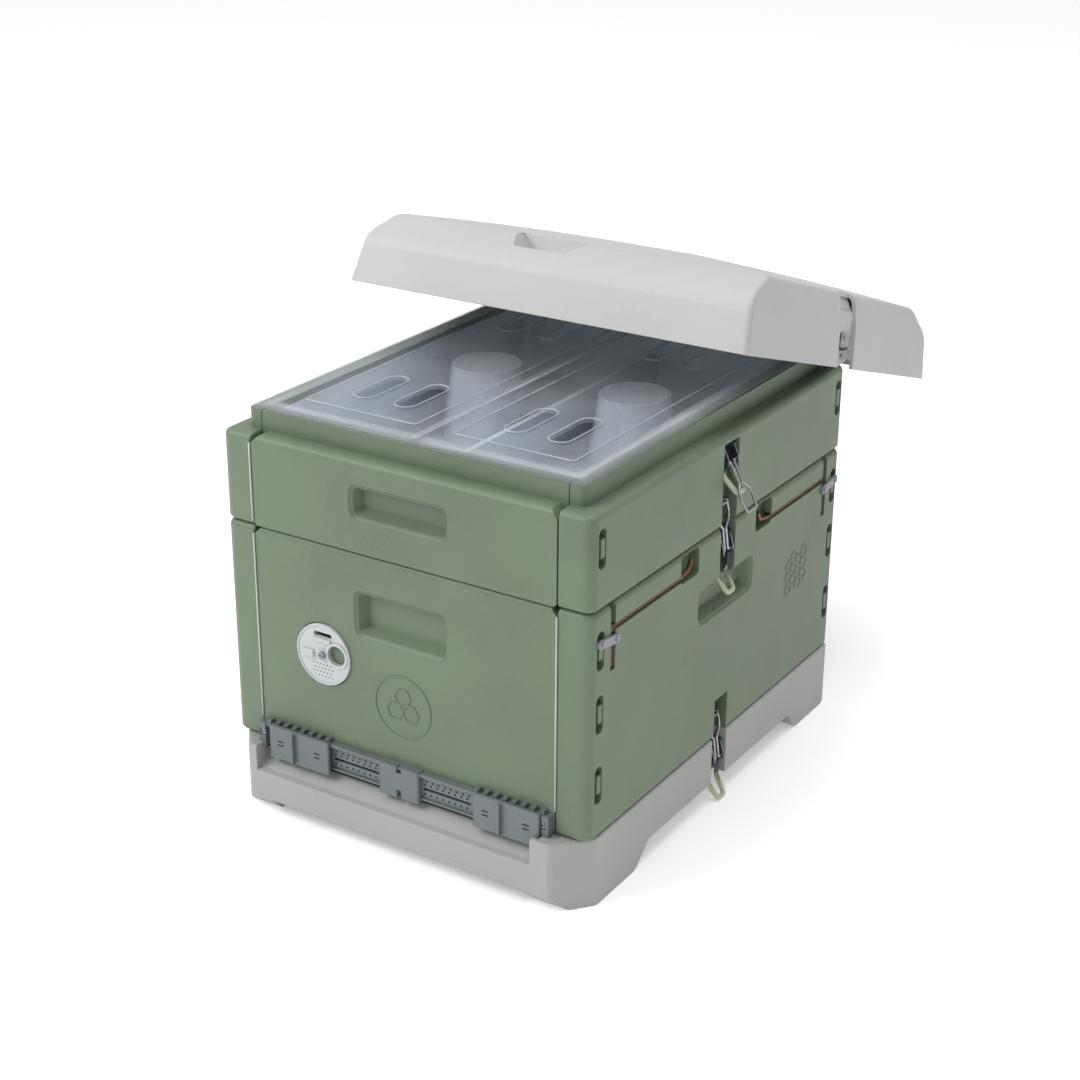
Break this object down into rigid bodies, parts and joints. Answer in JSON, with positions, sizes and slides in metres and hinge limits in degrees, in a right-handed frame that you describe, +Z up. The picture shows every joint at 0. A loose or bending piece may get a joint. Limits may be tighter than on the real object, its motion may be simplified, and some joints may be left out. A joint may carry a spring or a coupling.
{
  "type": "beehive",
  "caption": "Insulated plastic beehive with footed base, frame-filled brood box, shallow feeder box, clear inner cover, toggle latches and a tilted lift-off roof.",
  "frame": {"origin": "on the ground, at the middle of the boxes' footprint", "axes": "+Z up; the entrance and landing shelf face -Y; +X is the hive's right side seen from the front"},
  "size_m": [0.5069, 0.8166, 0.5725],
  "materials": {
    "base_plastic": "fine moulded texture",
    "roof_plastic": "fine moulded texture",
    "sage_plastic": "fine moulded texture",
    "rail_plastic": "moulded, satin",
    "disc_plastic": "moulded, satin",
    "clip_plastic": "moulded, satin",
    "clear_plastic": "translucent, smooth",
    "feeder_plastic": "translucent, smooth",
    "lining_foam": "closed-cell foam",
    "zinc_steel": "zinc plated",
    "wire_steel": "bright plated",
    "screen_steel": "coated sheet",
    "frame_wood": "planed pine",
    "comb_wax": "wax-coated sheet"
  },
  "bodies": {
    "base": {"base_board": "base_plastic", "floor_screen": "screen_steel", "base_latch_plates": "zinc_steel", "base_latch_pins": "zinc_steel"},
    "brood_box": {"brood_front_panel": "sage_plastic", "brood_back_panel": "sage_plastic", "brood_left_panel": "sage_plastic", "brood_right_panel": "sage_plastic", "frame_rests": "zinc_steel", "entrance_rail": "rail_plastic", "rail_screws": "zinc_steel", "disc_screw": "zinc_steel", "arm_clips": "clip_plastic", "brood_catches": "zinc_steel", "brood_latch_plates": "zinc_steel", "brood_latch_pins": "zinc_steel"},
    "gate_left": {"entrance_gate_left": "rail_plastic"},
    "gate_right": {"entrance_gate_right": "rail_plastic"},
    "disc": {"entrance_disc": "disc_plastic"},
    "frames": {"frame_01": "frame_wood", "frame_02": "frame_wood", "frame_03": "frame_wood", "frame_04": "frame_wood", "frame_05": "frame_wood", "frame_06": "frame_wood", "frame_07": "frame_wood", "frame_08": "frame_wood", "frame_09": "frame_wood", "frame_10": "frame_wood", "foundations": "comb_wax"},
    "top_box": {"top_front_panel": "sage_plastic", "top_back_panel": "sage_plastic", "top_left_panel": "sage_plastic", "top_right_panel": "sage_plastic", "top_catches": "zinc_steel", "top_latch_plates": "zinc_steel", "top_latch_pins": "zinc_steel"},
    "feeder": {"feeder_tray": "feeder_plastic", "feeder_cups": "feeder_plastic"},
    "cover": {"inner_cover": "clear_plastic"},
    "roof": {"roof_shell": "roof_plastic", "roof_liner": "lining_foam", "roof_catches": "zinc_steel"},
    "arm_front_right": {"arm_front_right": "wire_steel"},
    "arm_front_left": {"arm_front_left": "wire_steel"},
    "arm_back_right": {"arm_back_right": "wire_steel"},
    "arm_back_left": {"arm_back_left": "wire_steel"},
    "base_lever_right": {"base_lever_right": "zinc_steel"},
    "base_bail_right": {"base_bail_right": "wire_steel"},
    "base_lever_left": {"base_lever_left": "zinc_steel"},
    "base_bail_left": {"base_bail_left": "wire_steel"},
    "brood_lever_right": {"brood_lever_right": "zinc_steel"},
    "brood_bail_right": {"brood_bail_right": "wire_steel"},
    "brood_lever_left": {"brood_lever_left": "zinc_steel"},
    "brood_bail_left": {"brood_bail_left": "wire_steel"},
    "top_lever_right": {"top_lever_right": "zinc_steel"},
    "top_bail_right": {"top_bail_right": "wire_steel"},
    "top_lever_left": {"top_lever_left": "zinc_steel"},
    "top_bail_left": {"top_bail_left": "wire_steel"}
  },
  "joints": [
    {"name": "brood_box_lift", "type": "slide", "parent": "base", "child": "brood_box", "axis": [0, 0, 1], "range_m": [0, 0.3]},
    {"name": "frames_lift", "type": "slide", "parent": "brood_box", "child": "frames", "axis": [0, 0, 1], "range_m": [0, 0.26]},
    {"name": "top_box_lift", "type": "slide", "parent": "frames", "child": "top_box", "axis": [0, 0, 1], "range_m": [0, 0.2]},
    {"name": "feeder_lift", "type": "slide", "parent": "top_box", "child": "feeder", "axis": [0, 0, 1], "range_m": [0, 0.12]},
    {"name": "cover_lift", "type": "slide", "parent": "feeder", "child": "cover", "axis": [0, 0, 1], "range_m": [0, 0.1]},
    {"name": "roof_lift", "type": "slide", "parent": "cover", "child": "roof", "axis": [0, 0, 1], "range_m": [0, 0.3]},
    {"name": "left_gate_slide", "type": "slide", "parent": "brood_box", "child": "gate_left", "axis": [1, 0, 0], "range_m": [0, 0.062]},
    {"name": "right_gate_slide", "type": "slide", "parent": "brood_box", "child": "gate_right", "axis": [-1, 0, 0], "range_m": [0, 0.066]},
    {"name": "disc_turn", "type": "hinge", "parent": "brood_box", "child": "disc", "pos_m": [-0.097, -0.27, 0.1985], "axis": [0, -1, 0], "continuous": true},
    {"name": "arm_front_right_swing", "type": "hinge", "parent": "brood_box", "child": "arm_front_right", "pos_m": [0.2164, -0.23, 0.29], "axis": [0, 0, -1], "range_deg": [0, 90]},
    {"name": "arm_front_left_swing", "type": "hinge", "parent": "brood_box", "child": "arm_front_left", "pos_m": [-0.2164, -0.23, 0.29], "axis": [0, 0, 1], "range_deg": [0, 90]},
    {"name": "arm_back_right_swing", "type": "hinge", "parent": "brood_box", "child": "arm_back_right", "pos_m": [0.2164, 0.23, 0.29], "axis": [0, 0, 1], "range_deg": [0, 90]},
    {"name": "arm_back_left_swing", "type": "hinge", "parent": "brood_box", "child": "arm_back_left", "pos_m": [-0.2164, 0.23, 0.29], "axis": [0, 0, -1], "range_deg": [0, 90]},
    {"name": "base_lever_right_turn", "type": "hinge", "parent": "base", "child": "base_lever_right", "pos_m": [0.213, 0, 0.061], "axis": [0, -1, 0], "range_deg": [0, 90]},
    {"name": "base_bail_right_turn", "type": "hinge", "parent": "base_lever_right", "child": "base_bail_right", "pos_m": [0.218, 0, 0.0475], "axis": [0, -1, 0], "range_deg": [-90, 0]},
    {"name": "base_lever_left_turn", "type": "hinge", "parent": "base", "child": "base_lever_left", "pos_m": [-0.213, 0, 0.061], "axis": [0, 1, 0], "range_deg": [0, 90]},
    {"name": "base_bail_left_turn", "type": "hinge", "parent": "base_lever_left", "child": "base_bail_left", "pos_m": [-0.218, 0, 0.0475], "axis": [0, 1, 0], "range_deg": [-90, 0]},
    {"name": "brood_lever_right_turn", "type": "hinge", "parent": "brood_box", "child": "brood_lever_right", "pos_m": [0.213, 0, 0.305], "axis": [0, -1, 0], "range_deg": [0, 80]},
    {"name": "brood_bail_right_turn", "type": "hinge", "parent": "brood_lever_right", "child": "brood_bail_right", "pos_m": [0.218, 0, 0.2915], "axis": [0, -1, 0], "range_deg": [-80, 0]},
    {"name": "brood_lever_left_turn", "type": "hinge", "parent": "brood_box", "child": "brood_lever_left", "pos_m": [-0.213, 0, 0.305], "axis": [0, 1, 0], "range_deg": [0, 80]},
    {"name": "brood_bail_left_turn", "type": "hinge", "parent": "brood_lever_left", "child": "brood_bail_left", "pos_m": [-0.218, 0, 0.2915], "axis": [0, 1, 0], "range_deg": [-80, 0]},
    {"name": "top_lever_right_turn", "type": "hinge", "parent": "top_box", "child": "top_lever_right", "pos_m": [0.213, 0, 0.403], "axis": [0, -1, 0], "range_deg": [-8, 75]},
    {"name": "top_bail_right_turn", "type": "hinge", "parent": "top_lever_right", "child": "top_bail_right", "pos_m": [0.21983, 0, 0.39033], "axis": [0, -1, 0], "range_deg": [0, 75]},
    {"name": "top_lever_left_turn", "type": "hinge", "parent": "top_box", "child": "top_lever_left", "pos_m": [-0.213, 0, 0.403], "axis": [0, 1, 0], "range_deg": [-8, 75]},
    {"name": "top_bail_left_turn", "type": "hinge", "parent": "top_lever_left", "child": "top_bail_left", "pos_m": [-0.21983, 0, 0.39033], "axis": [0, 1, 0], "range_deg": [0, 75]}
  ],
  "couplings": [
    {"joint": "base_bail_right_turn", "follows": "base_lever_right_turn", "ratio": -1},
    {"joint": "base_bail_left_turn", "follows": "base_lever_left_turn", "ratio": -1},
    {"joint": "brood_bail_right_turn", "follows": "brood_lever_right_turn", "ratio": -1},
    {"joint": "brood_bail_left_turn", "follows": "brood_lever_left_turn", "ratio": -1}
  ]
}
